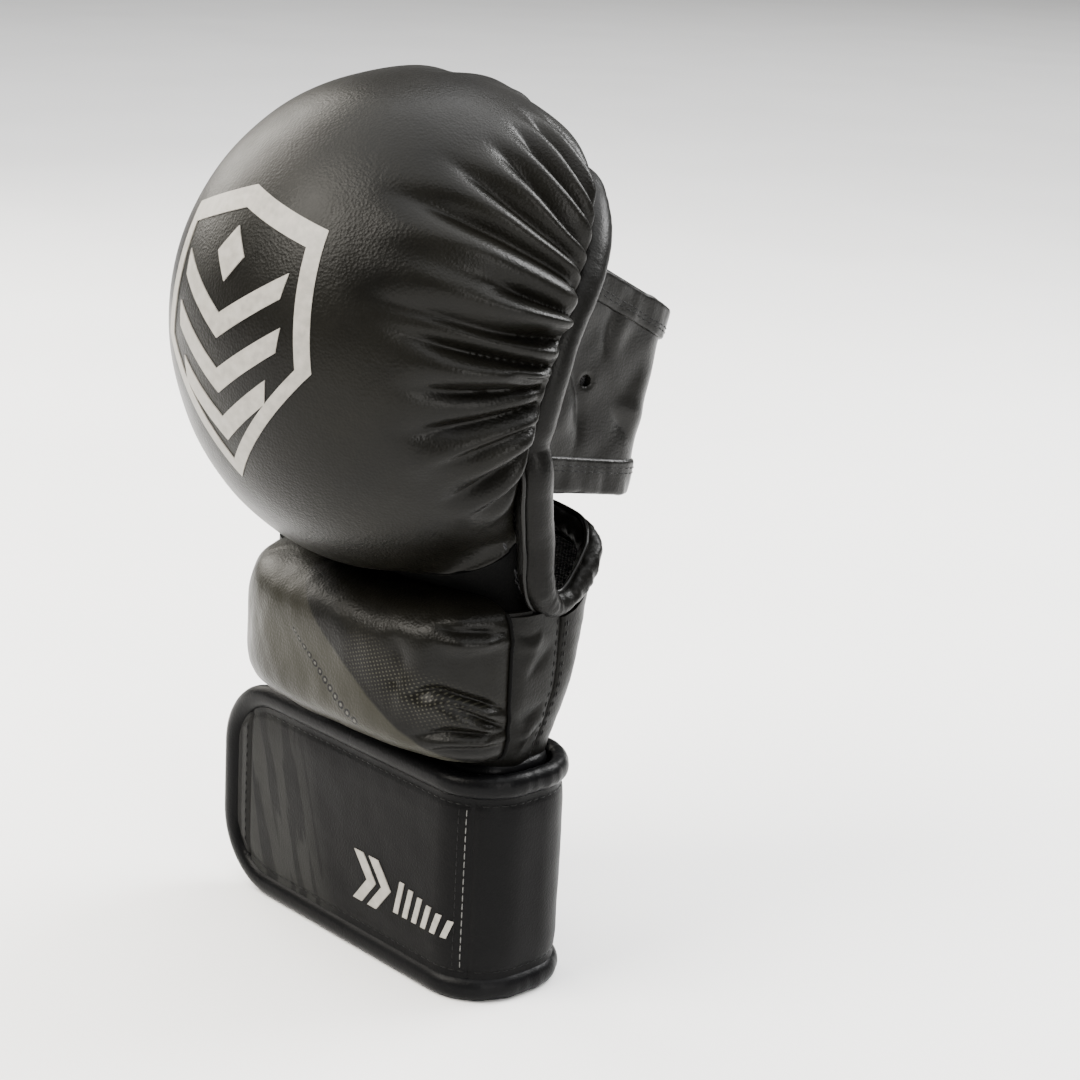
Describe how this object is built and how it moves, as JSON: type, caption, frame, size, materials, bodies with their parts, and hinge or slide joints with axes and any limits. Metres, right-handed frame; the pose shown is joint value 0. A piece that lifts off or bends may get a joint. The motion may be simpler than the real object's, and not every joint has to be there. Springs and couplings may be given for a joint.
{
  "type": "mma glove",
  "caption": "Right-hand open-thumb MMA sparring glove: domed knuckle pad, finger band, padded back of hand, wrist strap.",
  "frame": {"origin": "centre of the wrist opening, at the height of the cuff's lower edge", "axes": "+Z from the cuff to the fingertips, -Y out of the back of the hand, +Y out of the palm, +X to the little finger, -X to the thumb"},
  "size_m": [0.1336, 0.1283, 0.252],
  "materials": {
    "padded_cover": "satin, fine grain",
    "panel_leather": "satin, fine grain",
    "strap_leather": "smooth satin",
    "edge_leather": "satin, fine grain",
    "lining_mesh": "ribbed mesh",
    "hook_and_loop": "hook and loop",
    "foam": "closed-cell foam",
    "silver_print": "printed, low sheen"
  },
  "bodies": {
    "cuff": {"wrist_sleeve": "strap_leather", "wrist_sleeve_lining": "lining_mesh", "loop_field": "hook_and_loop", "strap_anchor_patch": "hook_and_loop", "strap_wrap_face": "strap_leather", "strap_wrap_foam": "foam", "strap_wrap_lower_edge": "edge_leather", "strap_wrap_upper_edge": "edge_leather"},
    "strap_flap": {"flap_face": "strap_leather", "flap_foam": "foam", "flap_lower_edge": "edge_leather", "flap_upper_edge": "edge_leather", "flap_hook_field": "hook_and_loop"},
    "strap_tab": {"tab_face": "strap_leather", "tab_foam": "foam", "tab_edge": "edge_leather", "tab_hook_field": "hook_and_loop"},
    "hand": {"palm_panel": "panel_leather", "little_finger_side_panel": "panel_leather", "thumb_side_panel": "panel_leather", "back_panel": "panel_leather", "hand_lining": "lining_mesh", "back_cushion_cover": "padded_cover", "back_cushion_foam": "foam", "palm_top_roll": "edge_leather", "thumb_opening_binding": "edge_leather"},
    "knuckle_pad": {"knuckle_cover": "padded_cover", "knuckle_foam": "foam", "knuckle_liner": "lining_mesh", "rim_roll": "edge_leather", "dome_emblem": "silver_print", "finger_band": "panel_leather", "finger_band_lining": "lining_mesh", "finger_band_top_hem": "edge_leather", "finger_band_bottom_hem": "edge_leather", "finger_dividers": "edge_leather"}
  },
  "joints": [
    {"name": "wrist_flex", "type": "hinge", "parent": "cuff", "child": "hand", "pos_m": [0, 0, 0.064], "axis": [-1, 0, 0], "range_deg": [-6, 10]},
    {"name": "knuckle_flex", "type": "hinge", "parent": "hand", "child": "knuckle_pad", "pos_m": [0, 0.003, 0.111], "axis": [-1, 0, 0], "range_deg": [0, 20]},
    {"name": "strap_peel", "type": "hinge", "parent": "cuff", "child": "strap_flap", "pos_m": [0.0468, -0.0176, 0.0335], "axis": [0, 0, 1], "range_deg": [0, 120]},
    {"name": "strap_tab_curl", "type": "hinge", "parent": "strap_flap", "child": "strap_tab", "pos_m": [-0.0124, -0.0222, 0.0335], "axis": [0, 0, 1], "range_deg": [0, 60]}
  ]
}
